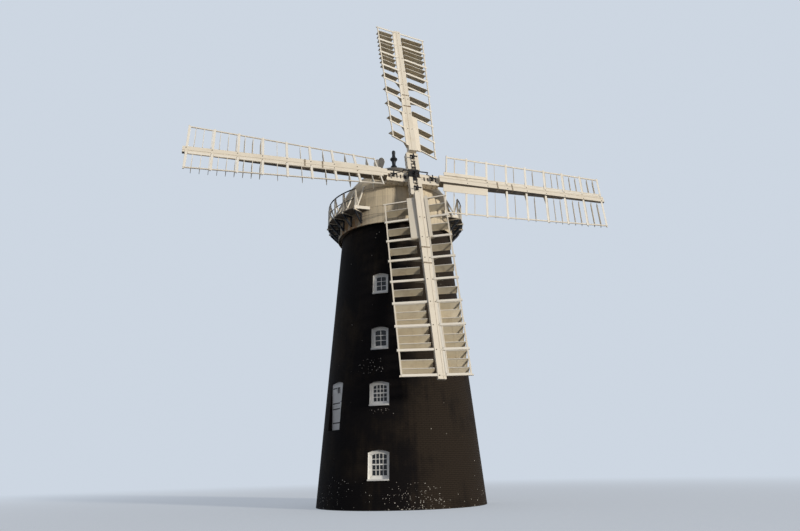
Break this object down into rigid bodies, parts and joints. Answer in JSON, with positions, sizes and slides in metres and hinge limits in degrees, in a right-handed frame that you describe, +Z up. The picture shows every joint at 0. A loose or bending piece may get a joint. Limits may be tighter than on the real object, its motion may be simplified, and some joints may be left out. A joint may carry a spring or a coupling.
{
  "type": "tower windmill",
  "caption": "Round tapered brick tower windmill with a boarded turning cap, gallery, fantail and twisted shuttered sails on an inclined shaft.",
  "frame": {"origin": "centre of the tower's foot, on the ground", "axes": "+Z up, the windshaft points towards -Y at rest, +X to the right seen from the sails"},
  "size_m": [20.8324, 11.5836, 24.8916],
  "materials": {
    "black_iron": "dark paint over iron",
    "cap_boards": "beige paint on boards, stained in places",
    "dark_metal": "dark grey paint",
    "glass": "clear window glass",
    "masonry_floor": "plain paving",
    "oak_floor": "plain boards",
    "shutter_cloth": "cream paint on light shutters",
    "structure_timber": "rough structural timber",
    "tarred_brick": "black tar over brick, matt with a few whitish flaked patches",
    "white_joinery": "white paint, slightly weathered",
    "white_timber": "white paint on timber"
  },
  "bodies": {
    "tower": {"curb": "structure_timber", "entrance_door": "white_joinery", "entrance_door_frame": "white_joinery", "entrance_door_hinges": "black_iron", "floor_ground": "masonry_floor", "floors_upper": "oak_floor", "loading_door_frame": "white_joinery", "loading_door_hinges": "black_iron", "loading_door_light": "glass", "loading_door_lower_leaf": "white_joinery", "loading_door_upper_leaf": "white_joinery", "wall_back_left": "tarred_brick", "wall_back_right": "tarred_brick", "wall_front_left": "tarred_brick", "wall_front_right": "tarred_brick", "wall_left": "tarred_brick", "wall_right": "tarred_brick", "window_casings": "white_joinery", "window_glass": "glass", "window_sills": "white_joinery"},
    "cap": {"cap_frame": "structure_timber", "shaft_bearings": "black_iron", "cap_skirt": "cap_boards", "dome_lower": "cap_boards", "dome_upper": "cap_boards", "crown_plate": "cap_boards", "finial": "dark_metal", "gallery_floor": "white_timber", "gallery_joists": "white_timber", "gallery_brackets": "dark_metal", "gallery_railing": "white_timber", "gallery_stays": "white_timber", "fan_frame": "white_timber"},
    "sails": {"windshaft": "black_iron", "poll_end": "black_iron", "stock_horizontal": "white_timber", "stock_vertical": "white_timber", "stock_clamps": "white_timber", "whips": "white_timber", "heel_boards": "white_timber", "whip_bands": "black_iron", "striking_spider": "black_iron", "bell_cranks": "black_iron", "sail_frame_bottom": "white_timber", "sail_frame_left": "white_timber", "sail_frame_right": "white_timber", "sail_frame_top": "white_timber", "shutters_bottom": "shutter_cloth", "shutters_left": "shutter_cloth", "shutters_right": "shutter_cloth", "shutters_top": "shutter_cloth"},
    "fan": {"fan_hub": "black_iron", "fan_blades": "white_timber"}
  },
  "joints": [
    {"name": "cap_turn", "type": "hinge", "parent": "tower", "child": "cap", "pos_m": [0, 0, 12.7], "axis": [0, 0, 1], "continuous": true},
    {"name": "sails_spin", "type": "hinge", "parent": "cap", "child": "sails", "pos_m": [0, -3.15, 14.741], "axis": [0, -0.9659, 0.2588], "continuous": true},
    {"name": "fan_spin", "type": "hinge", "parent": "cap", "child": "fan", "pos_m": [0, 3.52, 17.3], "axis": [1, 0, 0], "continuous": true}
  ]
}
